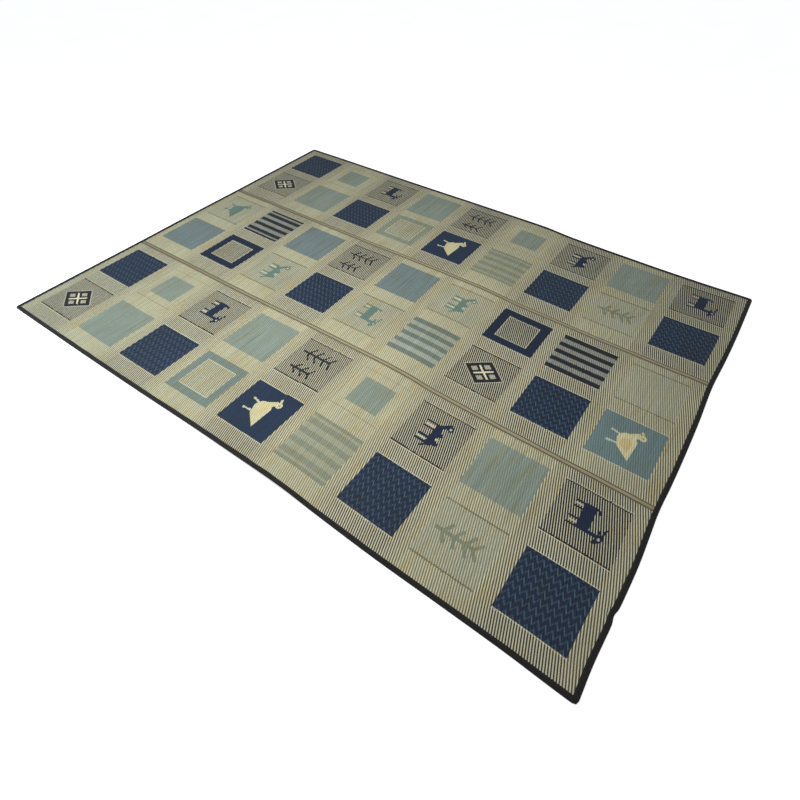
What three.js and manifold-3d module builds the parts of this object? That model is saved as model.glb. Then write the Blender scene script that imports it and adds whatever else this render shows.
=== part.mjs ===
// Woven rush floor mat lying flat, 2500 x 1910 mm: three woven panels side by side, a joining tape over
// each seam between them, and a folded cloth binding along each of the four edges.
// Millimetres, +Z up, long side along +X. The origin is the centre of the overall box, on the underside.
// The mat isn't pulled quite straight: its long edges and seams bow a little, as BOW states.
import * as THREE from "three";
import { mergeVertices } from "three/addons/utils/BufferGeometryUtils.js";
import Module from "manifold-3d";

const LENGTH = 2500; // along X
const WIDTH = 1910; // along Y, across the three panels
const PANEL_T = 4.0; // woven rush
const GAP = 0.3; // between neighbouring pieces

const BIND_W = 17; // binding, seen from above
const BIND_T = 0.9; // its cloth
const BIND_H = 5.0; // outer height of the folded binding
const NOSE_STEPS = 6; // facets of the rounded fold

const TAPE_W = 21; // seam tape
const TAPE_T = 1.0;
const TAPE_TOP = 3.8; // the tape lies in the pressed joint, a little below the panels' tops

// In-plane bow of the long edges: how far each moves towards +Y, at a distance along from the -X end.
const BOW = [
  { along: 0, near: 0, far: 0 },
  { along: 250, near: 2, far: 4 },
  { along: 500, near: 5, far: 5 },
  { along: 800, near: 10, far: 6 },
  { along: 1100, near: 17, far: 7 },
  { along: 1300, near: 19, far: 5 },
  { along: 1500, near: 20, far: 2 },
  { along: 1650, near: 16, far: 0 },
  { along: 1900, near: 9, far: -5 },
  { along: 2100, near: 8, far: -8 },
  { along: 2300, near: 6, far: -6 },
  { along: 2500, near: 0, far: 0 },
];
const STEP = 100; // sections along X
const SQUARE_END = 25; // the last stretch at each end is straight, so that the corners are square

const HALF_L = LENGTH / 2,
  HALF_W = WIDTH / 2,
  SEAM = WIDTH / 6; // the seams lie a third of the width apart
const NOSE_R = BIND_H / 2; // the fold at the very edge
const HIDDEN = NOSE_R + GAP; // the panel starts this far inside the mat's edge
const PRESSED = BIND_W + GAP; // and is pressed thinner under the binding as far as this
const PRESSED_LOW = BIND_T + GAP,
  PRESSED_HIGH = BIND_H - BIND_T - GAP;
const JOINT_HIGH = TAPE_TOP - TAPE_T - GAP; // panel top under a seam tape

// Smooth interpolation of one BOW column (a cubic through its rows).
function bowColumn(along, key) {
  const a = Math.min(Math.max(along, 0), LENGTH);
  let i = BOW.findIndex((row) => row.along >= a);
  if (i < 1) return BOW[0][key];
  const row = (k) => BOW[Math.min(Math.max(k, 0), BOW.length - 1)];
  const p = row(i - 1),
    q = row(i),
    h = q.along - p.along,
    s = (a - p.along) / h;
  const slope = (k) =>
    k <= 0 || k >= BOW.length - 1
      ? 0
      : (row(k + 1)[key] - row(k - 1)[key]) /
        (row(k + 1).along - row(k - 1).along);
  const s2 = s * s,
    s3 = s2 * s;
  return (
    (2 * s3 - 3 * s2 + 1) * p[key] +
    (s3 - 2 * s2 + s) * h * slope(i - 1) +
    (3 * s2 - 2 * s3) * q[key] +
    (s3 - s2) * h * slope(i)
  );
}
const stations = [-HALF_L, -HALF_L + SQUARE_END];
for (let x = -HALF_L + STEP; x < HALF_L - SQUARE_END; x += STEP) stations.push(x);
stations.push(HALF_L - SQUARE_END, HALF_L);
const atStation = stations.map((x) => {
  const square = Math.abs(x) > HALF_L - SQUARE_END - 1;
  return {
    near: square ? 0 : bowColumn(x + HALF_L, "near"),
    far: square ? 0 : bowColumn(x + HALF_L, "far"),
  };
});
// The bow at any point, straight from station to station, so that neighbouring pieces share one line.
function bow(x, y) {
  const i = Math.max(
    1,
    stations.findIndex((s) => s >= Math.min(Math.max(x, -HALF_L), HALF_L)),
  );
  const s = Math.min(
    Math.max((x - stations[i - 1]) / (stations[i] - stations[i - 1]), 0),
    1,
  );
  const mix = (key) =>
    atStation[i - 1][key] + s * (atStation[i][key] - atStation[i - 1][key]);
  const t = (y + HALF_W) / WIDTH;
  return (1 - t) * mix("near") + t * mix("far");
}
const inside = (x0, x1) => [
  x0,
  ...stations.filter((x) => x > x0 + 1 && x < x1 - 1),
  x1,
];
const farReach = Math.max(...stations.map((x) => HALF_W + bow(x, HALF_W)));
const nearReach = Math.min(...stations.map((x) => -HALF_W + bow(x, -HALF_W)));
const CENTRE_Y = (farReach + nearReach) / 2;

// A closed skin through like rings of points, with flat ends.
function loft(rings) {
  const n = rings[0].length,
    points = rings.flat().flat(),
    index = [];
  for (let r = 0; r + 1 < rings.length; r++)
    for (let k = 0; k < n; k++) {
      const a = r * n + k,
        b = r * n + ((k + 1) % n),
        c = a + n,
        d = b + n;
      index.push(a, c, b, b, c, d);
    }
  const flat = rings[0].map(([, y, z]) => new THREE.Vector2(y, z));
  const last = (rings.length - 1) * n,
    turned = THREE.ShapeUtils.isClockWise(flat);
  for (const [a, b, c] of THREE.ShapeUtils.triangulateShape(flat, [])) {
    const [p, q] = turned ? [c, b] : [b, c];
    index.push(a, p, q);
    index.push(last + a, last + q, last + p);
  }
  const g = new THREE.BufferGeometry();
  g.setAttribute("position", new THREE.Float32BufferAttribute(points, 3));
  g.setIndex(index);
  return outward(g);
}
function outward(g) {
  const p = g.getAttribute("position"),
    ix = g.index.array;
  let six = 0;
  const a = new THREE.Vector3(),
    b = new THREE.Vector3(),
    c = new THREE.Vector3();
  for (let i = 0; i < ix.length; i += 3) {
    a.fromBufferAttribute(p, ix[i]);
    b.fromBufferAttribute(p, ix[i + 1]);
    c.fromBufferAttribute(p, ix[i + 2]);
    six += a.dot(b.cross(c));
  }
  if (six < 0)
    for (let i = 0; i < ix.length; i += 3)
      [ix[i + 1], ix[i + 2]] = [ix[i + 2], ix[i + 1]];
  return g;
}

// A flat strip that follows the bow between two lines of constant y.
function strip(x0, x1, y0, y1, z0, z1) {
  return loft(
    inside(x0, x1).map((x) => [
      [x, y0 + bow(x, y0), z0],
      [x, y1 + bow(x, y1), z0],
      [x, y1 + bow(x, y1), z1],
      [x, y0 + bow(x, y0), z1],
    ]),
  );
}

const wasm = await Module();
wasm.setup();
function toSolid(g) {
  const bare = new THREE.BufferGeometry();
  bare.setAttribute("position", g.getAttribute("position"));
  bare.setIndex(g.index);
  const m = mergeVertices(bare, 1e-4);
  return new wasm.Manifold(
    new wasm.Mesh({
      numProp: 3,
      vertProperties: new Float32Array(m.getAttribute("position").array),
      triVerts: new Uint32Array(m.index.array),
    }),
  );
}
function toGeometry(solid) {
  const m = solid.getMesh(),
    g = new THREE.BufferGeometry();
  g.setAttribute(
    "position",
    new THREE.BufferAttribute(new Float32Array(m.vertProperties), 3),
  );
  g.setIndex(new THREE.BufferAttribute(new Uint32Array(m.triVerts), 1));
  g.computeVertexNormals();
  return g;
}

// One woven panel between two lines of constant y, pressed thinner under the bindings and the seam tapes.
function panel(y0, y1) {
  const low = y0 < -HALF_W + 100,
    high = y1 > HALF_W - 100;
  let solid = toSolid(
    strip(-HALF_L + HIDDEN, HALF_L - HIDDEN, y0, y1, 0, PANEL_T),
  );
  const far = HALF_L + 10,
    cut = (...box) => {
      solid = solid.subtract(toSolid(strip(...box)));
    };
  const press = (x0, x1, ya, yb) => {
    cut(x0, x1, ya, yb, -1, PRESSED_LOW);
    cut(x0, x1, ya, yb, PRESSED_HIGH, PANEL_T + 1);
  };
  press(-far, -HALF_L + PRESSED, y0 - 10, y1 + 10);
  press(HALF_L - PRESSED, far, y0 - 10, y1 + 10);
  if (low) press(-far, far, y0 - 10, -HALF_W + PRESSED);
  if (high) press(-far, far, HALF_W - PRESSED, y1 + 10);
  for (const seam of [-SEAM, SEAM])
    if (Math.abs(y0 - seam) < 1 || Math.abs(y1 - seam) < 1)
      cut(
        -far,
        far,
        seam - TAPE_W / 2 - GAP,
        seam + TAPE_W / 2 + GAP,
        JOINT_HIGH,
        PANEL_T + 1,
      );
  return toGeometry(solid);
}

// Section of the folded binding: u runs inwards from the mat's edge, z up.
function bindingSection() {
  const arc = (r, from, to) =>
    Array.from({ length: NOSE_STEPS + 1 }, (_, i) => {
      const a = from + ((to - from) * i) / NOSE_STEPS;
      return [NOSE_R - r * Math.cos(a), NOSE_R + r * Math.sin(a)];
    });
  return [
    [BIND_W, 0],
    ...arc(NOSE_R, -Math.PI / 2, Math.PI / 2),
    [BIND_W, BIND_H],
    [BIND_W, BIND_H - BIND_T],
    ...arc(NOSE_R - BIND_T, Math.PI / 2, -Math.PI / 2),
    [BIND_W, BIND_T],
  ];
}
// One binding from mitre to mitre. place(s, u, z) puts a point at s along the side and u inside its edge.
function binding(half, bowed, place) {
  const mitre = (GAP / 2) * Math.SQRT2,
    section = bindingSection();
  const along = bowed ? inside(-half, half) : [-half, half];
  return loft(
    along.map((s, i) =>
      section.map(([u, z]) => {
        const inset = u + mitre;
        const at =
          i === 0 ? s + inset : i === along.length - 1 ? s - inset : s;
        return place(at, u, z);
      }),
    ),
  );
}

const rush = (color) =>
  new THREE.MeshStandardMaterial({ color, roughness: 0.75, metalness: 0 });
const cloth = (color) =>
  new THREE.MeshStandardMaterial({ color, roughness: 0.9, metalness: 0 });

const mat = new THREE.Group();
mat.position.set(0, -CENTRE_Y, 0);
function add(name, geometry, material) {
  const mesh = new THREE.Mesh(geometry, material);
  mesh.name = name;
  mat.add(mesh);
}

const PANELS = [
  { name: "panel_near", from: -HALF_W + HIDDEN, to: -SEAM - GAP / 2 },
  { name: "panel_middle", from: -SEAM + GAP / 2, to: SEAM - GAP / 2 },
  { name: "panel_far", from: SEAM + GAP / 2, to: HALF_W - HIDDEN },
];
for (const { name, from, to } of PANELS) add(name, panel(from, to), rush(0xa39a78));

const SEAMS = [
  { name: "seam_tape_near", at: -SEAM },
  { name: "seam_tape_far", at: SEAM },
];
for (const { name, at } of SEAMS)
  add(
    name,
    strip(
      -HALF_L + HIDDEN,
      HALF_L - HIDDEN,
      at - TAPE_W / 2,
      at + TAPE_W / 2,
      TAPE_TOP - TAPE_T,
      TAPE_TOP,
    ),
    cloth(0x9a9272),
  );

const BINDINGS = [
  {
    name: "binding_near",
    half: HALF_L,
    bowed: true,
    place: (s, u, z) => [s, -HALF_W + u + bow(s, -HALF_W + u), z],
  },
  {
    name: "binding_far",
    half: HALF_L,
    bowed: true,
    place: (s, u, z) => [s, HALF_W - u + bow(s, HALF_W - u), z],
  },
  {
    name: "binding_left",
    half: HALF_W,
    bowed: false,
    place: (s, u, z) => [-HALF_L + u, s, z],
  },
  {
    name: "binding_right",
    half: HALF_W,
    bowed: false,
    place: (s, u, z) => [HALF_L - u, s, z],
  },
];
for (const { name, half, bowed, place } of BINDINGS)
  add(name, binding(half, bowed, place), cloth(0x221e1c));

const root = new THREE.Group();
root.add(mat);
export default root;
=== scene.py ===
import math

import bpy
import numpy as np
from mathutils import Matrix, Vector


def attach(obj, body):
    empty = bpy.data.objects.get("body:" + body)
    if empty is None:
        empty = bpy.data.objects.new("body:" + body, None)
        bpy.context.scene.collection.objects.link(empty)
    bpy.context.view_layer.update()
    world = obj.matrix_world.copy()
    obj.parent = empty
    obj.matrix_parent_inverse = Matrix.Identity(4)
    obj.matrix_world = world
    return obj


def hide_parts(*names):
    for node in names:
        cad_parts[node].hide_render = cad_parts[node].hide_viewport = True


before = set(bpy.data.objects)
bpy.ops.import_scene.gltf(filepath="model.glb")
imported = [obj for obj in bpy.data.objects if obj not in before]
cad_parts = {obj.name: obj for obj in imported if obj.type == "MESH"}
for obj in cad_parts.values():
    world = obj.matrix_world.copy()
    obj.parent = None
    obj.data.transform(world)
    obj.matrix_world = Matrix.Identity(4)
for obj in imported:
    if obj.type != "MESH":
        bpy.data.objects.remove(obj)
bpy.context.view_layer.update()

# ----------------------------------------------------------------------------
# The mat's own sizes, in centimetres: X along its length, Y from its near long
# edge to its far one, both from the middle. to_frame() gives frame metres.
# ----------------------------------------------------------------------------
HALF_L, HALF_W, SHIFT_Y = 125.0, 95.5, -0.35
SEAM = 31.833
RUSH, WARP = 0.0985, 0.329  # pitch of the stalks along X, and of the warp lines along Y
RIB = 8 * RUSH  # a diagonal rib comes round every eight stalks
LEAN = RUSH / WARP  # how far a rib runs back along X for each step along Y
CREST = 0.76  # where in the eight a rib stands highest

# Sideways bow of the long edges: place along X, then the near and the far edge
BOW = [
    (-125, 0.0, 0.0),
    (-100, 0.2, 0.4),
    (-75, 0.5, 0.5),
    (-45, 1.0, 0.6),
    (-15, 1.7, 0.7),
    (5, 1.9, 0.5),
    (25, 2.0, 0.2),
    (40, 1.6, 0.0),
    (65, 0.9, -0.5),
    (85, 0.8, -0.8),
    (105, 0.6, -0.6),
    (125, 0.0, 0.0),
]
# Height of the one long wave that lifts the mat off the floor
WAVE = [
    (-125, 0.0),
    (-68, 0.0),
    (-46, 0.06),
    (-33, 0.15),
    (-15, 0.34),
    (5, 0.60),
    (18, 0.79),
    (26, 0.86),
    (31, 0.78),
    (36, 0.50),
    (41, 0.17),
    (47, 0.06),
    (58, 0.03),
    (72, 0.0),
    (125, 0.0),
]
# How far the right-hand end stands out along its length
RIGHT_END = [
    (-95.5, 0.0),
    (-85, -0.25),
    (-74, -0.05),
    (-62, 0.24),
    (-52, 0.30),
    (-42, -0.05),
    (-32, -0.42),
    (-20, -0.12),
    (-6, 0.0),
    (12, -0.15),
    (31, -0.64),
    (48, -0.10),
    (65, 0.18),
    (84, 0.08),
    (95.5, 0.0),
]
# Pressed creases: X at the near end and at the far end, Y range, half width, height
CREASES = [
    (2.6, 3.4, -95.5, 95.5, 0.75, 0.085),
    (3.0, 3.4, -82.0, -32.0, 0.45, 0.16),
    (1.7, 2.0, -82.0, -36.0, 0.5, -0.14),
    (0.9, 1.4, -88.0, 95.5, 1.2, -0.06),
    (75.5, 78.0, 40.0, 92.0, 0.9, 0.055),
    (80.0, 82.5, 34.0, 78.0, 0.8, 0.045),
    (-71.0, -72.5, -92.0, -36.0, 1.1, 0.04),
]


def through(table, x):
    """A smooth curve through the table's rows, level at both ends."""
    t = np.asarray(table, float)
    p, v = t[:, 0], t[:, 1:]
    slope = np.zeros_like(v)
    slope[1:-1] = (v[2:] - v[:-2]) / (p[2:] - p[:-2])[:, None]
    x = np.asarray(x, float)
    k = np.clip(np.searchsorted(p, x, side="right") - 1, 0, len(p) - 2)
    h = p[k + 1] - p[k]
    s = np.clip((x - p[k]) / h, 0, 1)[..., None]
    h = h[..., None]
    return (
        v[k] * (2 * s**3 - 3 * s**2 + 1)
        + slope[k] * h * (s**3 - 2 * s**2 + s)
        + v[k + 1] * (-2 * s**3 + 3 * s**2)
        + slope[k + 1] * h * (s**3 - s**2)
    )


def wander(seed, spacing, low=-140.0, high=140.0):
    """A seeded smooth wander between -1 and 1 along a line."""
    n = int((high - low) / spacing) + 3
    v = np.random.RandomState(seed).uniform(-1, 1, n)

    def at(s):
        q = (np.asarray(s, float) - low) / spacing
        k = np.clip(np.floor(q).astype(int), 0, n - 2)
        f = np.clip(q - k, 0, 1)
        f = f * f * (3 - 2 * f)
        return v[k] * (1 - f) + v[k + 1] * f

    return at


def ease(t):
    t = np.clip(t, 0, 1)
    return t * t * (3 - 2 * t)


def bell(t):
    return np.exp(-(t**2))


_roll = wander(5, 17.0)
_roll2 = wander(6, 11.0)
_roll3 = wander(7, 23.0)
_pucker = [wander(11, 4.5), wander(12, 5.0)]


def lift(x, y):
    """How far the mat is off the floor."""
    z = through(WAVE, x)[..., 0] * (0.93 + 0.05 * np.cos(y / 21.0) + 0.02 * _roll(y))
    for x0, x1, y0, y1, w, h in CREASES:
        middle = x0 + (x1 - x0) * (y + HALF_W) / (2 * HALF_W)
        ends = ease((y - y0) / 7 + 0.5) * ease((y1 - y) / 7 + 0.5)
        z = z + h * np.exp(-np.abs(x - middle) / w) * ends
    calm = 0.030 + 0.022 * _roll(x + 0.25 * y) + 0.018 * _roll2(y - 0.15 * x)
    z = z + calm
    for side, wave in zip((-1, 1), _pucker):
        z = z + bell((y - side * SEAM) / 5.0) * (0.022 + 0.022 * wave(x))
    return np.maximum(z, 0.0)


def slide(x, y):
    """Sideways give along X: the ends draw in where the seams meet them."""
    right = ease((x - 88) / 37)
    left = ease((-x - 95) / 30)
    draw = bell((y + SEAM) / 10) + bell((y - SEAM) / 10)
    dx = right * through(RIGHT_END, y)[..., 0] + 0.16 * left * draw
    # a small knock in the right-hand edge
    dx = dx - 0.45 * bell((y + 69.8) / 1.7) * ease((x - 121.5) / 3.0)
    inner = ease((HALF_L - np.abs(x)) / 20)
    return dx + inner * (0.16 * _roll3(y + 0.1 * x) + 0.07 * _roll2(y * 1.7 + 0.2 * x))


def to_frame(x, y, z):
    x, y, z = np.broadcast_arrays(
        np.asarray(x, float), np.asarray(y, float), np.asarray(z, float)
    )
    t = (y + HALF_W) / (2 * HALF_W)
    b = through(BOW, x)
    # the outer corners are a little round
    a, c = HALF_L - np.abs(x), HALF_W - np.abs(y)
    pull = 0.34 * np.clip(1 - a / 1.3, 0, 1) * np.clip(1 - c / 1.3, 0, 1)
    px = x - np.sign(x) * pull + slide(x, y)
    py = y - np.sign(y) * pull + b[..., 0] * (1 - t) + b[..., 1] * t + SHIFT_Y
    # the cloth is pushed a little out of line along the fold in the near panel
    py = py + 0.42 * ease((x - 2.6) / 0.7 + 0.5) * ease((26.0 - x) / 22.0) * bell((y + 66.0) / 15.0)
    return np.stack([px, py, z + lift(x, y)], -1) / 100.0


# ----------------------------------------------------------------------------
# The woven squares: nine columns, two rows to each panel. Names say what is
# woven in each; every chart below is drawn one by one.
# ----------------------------------------------------------------------------
CELL = 10.75  # half a square
# Each panel was woven on its own, so its squares sit a little differently: the
# first and the last column, then the two rows from the panel's near side
PLACES = {
    "near": (-108.65, 108.20, (19.0, 47.35)),
    "middle": (-109.25, 107.65, (19.4, 47.75)),
    "far": (-108.15, 108.50, (19.6, 46.85)),
}

FAR_ROW = [
    "navy", "small", "goat", "teal", "sprigs", "small", "camel", "teal", "goat",
]
LAYOUT = {
    "near": (
        ["lozenge", "teal", "navy", "frame_teal", "goose_navy", "bars_pale", "navy", "twig", "navy"],
        FAR_ROW,
    ),
    "middle": (
        ["blue", "frame_navy", "pale_camel", "navy", "pale_goat", "bars_teal", "lozenge", "navy", "goose_blue"],
        ["pale_goose", "bars_navy", "blue", "sprigs", "blue", "pale_camel", "frame_navy", "bars_navy", "pale"],
    ),
    "far": (
        ["lozenge", "teal", "navy", "frame_pale", "goose_navy", "bars_pale", "navy", "twig", "navy"],
        FAR_ROW,
    ),
}
DARK_KIND = {
    "navy", "goat", "camel", "sprigs", "lozenge", "goose_navy", "frame_navy", "bars_navy",
}
# How much of the rib stands up inside each square
STAND = {
    "navy": 0.30, "goose_navy": 0.30, "teal": 0.40, "blue": 0.40, "goose_blue": 0.40,
    "bars_navy": 0.35, "bars_teal": 0.40, "bars_pale": 0.45, "twig": 0.55, "pale": 0.55,
    "pale_goat": 0.55, "pale_camel": 0.55, "pale_goose": 0.55, "small": 0.60,
}


# ----------------------------------------------------------------------------
# Shader graphs
# ----------------------------------------------------------------------------
def linear(rgb):
    out = []
    for c in rgb:
        c = c / 255.0
        out.append(c / 12.92 if c <= 0.04045 else ((c + 0.055) / 1.055) ** 2.4)
    return tuple(out) + (1.0,)


class Val:
    """A number in a shader graph."""

    def __init__(self, g, socket):
        self.g, self.socket = g, socket

    def __add__(self, o):
        return self.g.op("ADD", self, o)

    __radd__ = __add__

    def __sub__(self, o):
        return self.g.op("SUBTRACT", self, o)

    def __rsub__(self, o):
        return self.g.op("SUBTRACT", o, self)

    def __mul__(self, o):
        return self.g.op("MULTIPLY", self, o)

    __rmul__ = __mul__

    def __truediv__(self, o):
        return self.g.op("DIVIDE", self, o)

    def __abs__(self):
        return self.g.op("ABSOLUTE", self)


class Graph:
    def __init__(self, name):
        self.mat = bpy.data.materials.new(name)
        self.mat.use_nodes = True
        self.tree = self.mat.node_tree
        self.tree.nodes.clear()

    def node(self, kind, **props):
        n = self.tree.nodes.new(kind)
        for k, v in props.items():
            setattr(n, k, v)
        return n

    def put(self, socket, value):
        if isinstance(value, Val):
            self.tree.links.new(value.socket, socket)
        elif isinstance(value, tuple):
            socket.default_value = linear(value) if len(value) == 3 else value
        else:
            socket.default_value = value

    def op(self, name, *args, clamp=False):
        n = self.node("ShaderNodeMath", operation=name, use_clamp=clamp)
        for i, a in enumerate(args):
            self.put(n.inputs[i], a)
        return Val(self, n.outputs[0])

    def floor(self, a):
        return self.op("FLOOR", a)

    def frac(self, a):
        return self.op("FRACT", a)

    def less(self, a, b):
        return self.op("LESS_THAN", a, b)

    def low(self, a, b):
        return self.op("MINIMUM", a, b)

    def high(self, a, b):
        return self.op("MAXIMUM", a, b)

    def ramp(self, a, a0, a1, b0=0.0, b1=1.0):
        n = self.node("ShaderNodeMapRange", clamp=True)
        for i, v in enumerate((a, a0, a1, b0, b1)):
            self.put(n.inputs[i], v)
        return Val(self, n.outputs[0])

    def uv(self, name):
        n = self.node("ShaderNodeUVMap", uv_map=name)
        s = self.node("ShaderNodeSeparateXYZ")
        self.tree.links.new(n.outputs[0], s.inputs[0])
        return Val(self, s.outputs[0]), Val(self, s.outputs[1])

    def point(self, x, y, z=0.0):
        n = self.node("ShaderNodeCombineXYZ")
        for i, v in enumerate((x, y, z)):
            self.put(n.inputs[i], v)
        return Val(self, n.outputs[0])

    def noise(self, x, y, detail=2.0, rough=0.5, z=0.0):
        n = self.node("ShaderNodeTexNoise")
        self.put(n.inputs["Vector"], self.point(x, y, z))
        n.inputs["Scale"].default_value = 1.0
        n.inputs["Detail"].default_value = detail
        n.inputs["Roughness"].default_value = rough
        return Val(self, n.outputs["Fac"])

    def chance(self, w):
        n = self.node("ShaderNodeTexWhiteNoise", noise_dimensions="1D")
        self.put(n.inputs["W"], w)
        return Val(self, n.outputs["Value"])

    def mix(self, f, a, b):
        n = self.node("ShaderNodeMix", data_type="RGBA")
        self.put(n.inputs["Factor"], f)
        self.put([s for s in n.inputs if s.name == "A" and s.type == "RGBA"][0], a)
        self.put([s for s in n.inputs if s.name == "B" and s.type == "RGBA"][0], b)
        return Val(self, [s for s in n.outputs if s.type == "RGBA"][0])

    def scale(self, colour, f):
        n = self.node("ShaderNodeVectorMath", operation="SCALE")
        if isinstance(colour, tuple):
            n.inputs[0].default_value = linear(colour)[:3]
        else:
            self.put(n.inputs[0], colour)
        self.put(n.inputs["Scale"], f)
        return Val(self, n.outputs[0])

    def bump(self, height, distance, strength=1.0):
        n = self.node("ShaderNodeBump")
        n.inputs["Strength"].default_value = strength
        n.inputs["Distance"].default_value = distance
        self.put(n.inputs["Height"], height)
        return Val(self, n.outputs[0])

    def finish(self, colour, rough, normal=None, **fixed):
        b = self.node("ShaderNodeBsdfPrincipled")
        self.put(b.inputs["Base Color"], colour)
        self.put(b.inputs["Roughness"], rough)
        if normal is not None:
            self.put(b.inputs["Normal"], normal)
        for k, v in fixed.items():
            b.inputs[k.replace("_", " ")].default_value = v
        out = self.node("ShaderNodeOutputMaterial")
        self.tree.links.new(b.outputs[0], out.inputs[0])
        return self.mat


# Shapes on a square: u along the mat, v across it. Each gives a value that is
# below zero inside.
class Chart:
    def __init__(self, g, u, v):
        self.g, self.u, self.v = g, u, v

    def box(self, u0, u1, v0, v1):
        g = self.g
        a = abs(self.u - (u0 + u1) / 2) - abs(u1 - u0) / 2
        b = abs(self.v - (v0 + v1) / 2) - abs(v1 - v0) / 2
        return g.high(a, b)

    def bar(self, u0, v0, u1, v1, half):
        """A straight band from one point to another."""
        g = self.g
        n = math.hypot(u1 - u0, v1 - v0)
        du, dv = (u1 - u0) / n, (v1 - v0) / n
        mu, mv = (u0 + u1) / 2, (v0 + v1) / 2
        along = self.u * du + self.v * dv - (mu * du + mv * dv)
        across = self.u * -dv + self.v * du - (mu * -dv + mv * du)
        return g.high(abs(along) - (n / 2 + half * 0.4), abs(across) - half)

    def hull(self, *points):
        """A convex outline, either way round."""
        g = self.g
        area = sum(
            a[0] * b[1] - b[0] * a[1] for a, b in zip(points, points[1:] + points[:1])
        )
        if area < 0:
            points = points[::-1]
        d = None
        for a, b in zip(points, points[1:] + points[:1]):
            n = math.hypot(b[0] - a[0], b[1] - a[1])
            nu, nv = (b[1] - a[1]) / n, -(b[0] - a[0]) / n
            e = self.u * nu + self.v * nv - (a[0] * nu + a[1] * nv)
            d = e if d is None else g.high(d, e)
        return d

    def disc(self, cu, cv, r):
        g = self.g
        a, b = self.u - cu, self.v - cv
        return g.op("SQRT", a * a + b * b) - r

    def any(self, *shapes):
        d = shapes[0]
        for s in shapes[1:]:
            d = self.g.low(d, s)
        return d

    def inside(self, *shapes):
        return self.g.less(self.any(*shapes), 0.0)


# Colours of the rush. Each pair is the stalk on top and what shows where it dips.
GAP = {True: ((188, 185, 166), (82, 76, 64)), False: ((188, 185, 163), (98, 91, 75))}
GROUND = {True: ((186, 183, 165), (56, 50, 44)), False: ((185, 183, 162), (116, 111, 93))}
GREY = ((180, 177, 162), (42, 39, 37))
PALE = ((174, 172, 154), (114, 114, 102))
NAVY = ((22, 40, 66), (15, 27, 47))
NAVY_LINE = ((66, 84, 108), (52, 70, 92))
NAVY_FAINT = ((50, 66, 88), (40, 55, 76))
TEAL = ((130, 139, 133), (109, 120, 116))
BLUE = ((110, 123, 128), (93, 106, 112))
INK = ((21, 37, 68), (16, 27, 50))
RIM = ((202, 198, 180), (150, 143, 126))
CREAM = ((200, 194, 163), (176, 169, 138))
TAN = ((196, 178, 134), (172, 153, 110))


def goat(c):
    dark = [
        c.box(-2.5, 1.2, -3.8, 5.9),
        c.box(-5.5, -2.3, 5.2, 5.85),
        c.box(-5.5, -2.3, 2.75, 3.4),
        c.box(-5.5, -2.3, -1.35, -0.7),
        c.box(-5.5, -2.3, -3.85, -3.2),
        c.bar(1.0, 5.5, 2.5, 5.2, 0.45),
        c.bar(2.5, 5.2, 2.6, 4.2, 0.35),
        c.box(1.0, 4.6, -3.9, -2.5),
        c.hull((4.3, -2.2), (5.9, -2.6), (5.6, -4.4), (3.6, -6.2), (2.9, -5.6), (3.6, -4.0)),
        c.bar(5.2, -2.6, 5.9, 0.7, 0.33),
        c.bar(4.2, -2.4, 4.0, -0.9, 0.33),
    ]
    light = [
        c.box(-5.1, -2.7, 4.0, 4.6),
        c.box(-5.1, -2.7, -2.6, -2.0),
        c.disc(4.75, -3.7, 0.45),
    ]
    return dark, light


def camel(c):
    dark = [
        c.box(-0.9, 1.7, -5.1, 4.3),
        c.box(-4.8, -0.7, 3.6, 4.4),
        c.box(-4.8, -0.7, 1.0, 1.8),
        c.box(-4.8, -0.7, -2.7, -1.9),
        c.box(-4.8, -0.7, -5.0, -4.2),
        c.hull((1.5, 2.1), (3.5, 0.6), (3.2, -0.1), (1.5, -1.0)),
        c.hull((1.5, -2.0), (3.7, -3.3), (3.4, -4.1), (0.4, -5.1)),
        c.bar(0.4, -5.0, -1.7, -6.7, 0.4),
        c.bar(0.8, 3.7, 2.9, 5.7, 0.75),
        c.disc(3.9, 5.0, 1.25),
        c.bar(3.3, 5.7, 3.7, 7.0, 0.4),
    ]
    light = [
        c.box(-4.5, -1.1, 2.25, 3.2),
        c.box(-4.5, -1.1, -3.8, -3.1),
        c.disc(3.95, 4.95, 0.5),
        c.box(1.9, 2.8, -1.9, -1.2),
    ]
    return dark, light


def goose(c):
    body = [
        c.disc(-0.1, 1.0, 3.3),
        c.hull((-3.0, -0.6), (-2.2, -3.0), (2.7, -7.3), (3.2, 0.8), (0.0, 3.0)),
        c.bar(0.2, 3.2, 2.9, 5.2, 1.2),
        c.disc(4.0, 4.8, 1.3),
        c.bar(3.9, 5.7, 3.3, 7.4, 0.42),
    ]
    leg = [
        c.bar(-2.8, 2.4, -6.0, 3.1, 0.40),
        c.bar(-2.6, -1.9, -6.2, -2.3, 0.40),
    ]
    eye = [c.disc(4.2, 4.8, 0.36)]
    wing = [c.hull((-1.9, 1.4), (-1.9, -1.6), (1.6, -4.2), (2.0, 0.2), (0.6, 2.0))]
    return body, leg, eye, wing


def twig(c, thick=0.45, spread=1.0):
    shapes = [c.bar(-8.2, 0.1, 5.0, 0.1, thick)]
    for u, du, dv in ((-5.4, 1.7, 3.2), (-1.7, 1.6, 3.1), (2.0, 1.8, 3.4), (4.8, 1.9, 2.6)):
        shapes.append(c.bar(u, 0.4, u + du, dv * spread + 0.3, thick * 0.9))
        shapes.append(c.bar(u - 0.3, -0.2, u + du - 0.2, -dv * spread - 0.1, thick * 0.9))
    return shapes


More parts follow.
